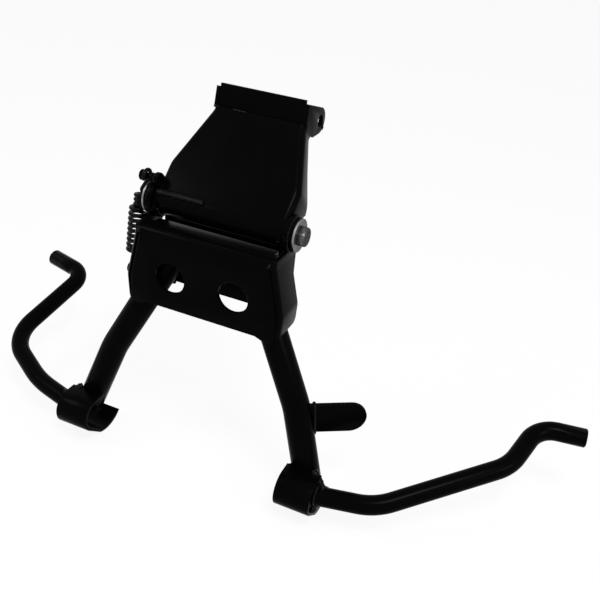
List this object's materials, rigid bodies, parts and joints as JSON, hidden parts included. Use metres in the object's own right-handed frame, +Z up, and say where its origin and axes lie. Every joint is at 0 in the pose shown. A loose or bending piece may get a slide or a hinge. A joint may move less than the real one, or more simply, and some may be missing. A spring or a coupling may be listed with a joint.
{
  "type": "motorcycle centre stand",
  "caption": "Steel centre stand that swings on a hanger bracket under a motorcycle, with bent tread rods, rocker feet and a return spring.",
  "frame": {"origin": "middle of the frame bolt axis, between the two ears of the hanger bracket", "axes": "+X across the motorcycle along the frame bolt and parallel to the stand's pivot, +Y to the rear, +Z up, stand down"},
  "size_m": [0.6326, 0.1912, 0.3472],
  "materials": {
    "black_paint": "gloss black stove enamel",
    "zinc_plate": "bright zinc plate",
    "dark_zinc": "dull zinc plate",
    "pin_steel": "ground steel",
    "bush_bronze": "sintered bronze",
    "spring_black": "oiled black spring wire"
  },
  "bodies": {
    "hanger": {"hanger_bracket": "black_paint", "hanger_cross_bar": "black_paint", "pivot_tube": "black_paint", "pivot_bush_left": "bush_bronze", "pivot_bush_right": "bush_bronze", "spring_post": "black_paint"},
    "stand": {"cross_plate": "black_paint", "rear_panel": "black_paint", "pivot_boss_left": "black_paint", "pivot_boss_right": "black_paint", "pivot_pin": "pin_steel", "pivot_washer_left": "zinc_plate", "pivot_washer_right": "zinc_plate", "pivot_screw_left": "dark_zinc", "pivot_screw_right": "zinc_plate", "leg_left": "black_paint", "leg_right": "black_paint", "foot_left": "black_paint", "foot_right": "black_paint", "tread_rod_left": "black_paint", "tread_rod_right": "black_paint", "rest_tab": "black_paint", "spring_anchor": "black_paint"},
    "spring": {"return_spring": "spring_black"}
  },
  "joints": [
    {"name": "stand_pivot", "type": "hinge", "parent": "hanger", "child": "stand", "pos_m": [0, -0.0965, -0.0698], "axis": [1, 0, 0], "range_deg": [0, 78]},
    {"name": "spring_swing", "type": "hinge", "parent": "hanger", "child": "spring", "pos_m": [-0.0755, -0.1015, -0.0488], "axis": [1, 0, 0], "range_deg": [0, 62], "deforming": ["return_spring"]}
  ],
  "couplings": [
    {"joint": "spring_swing", "follows": "stand_pivot", "ratio": 0.791}
  ]
}
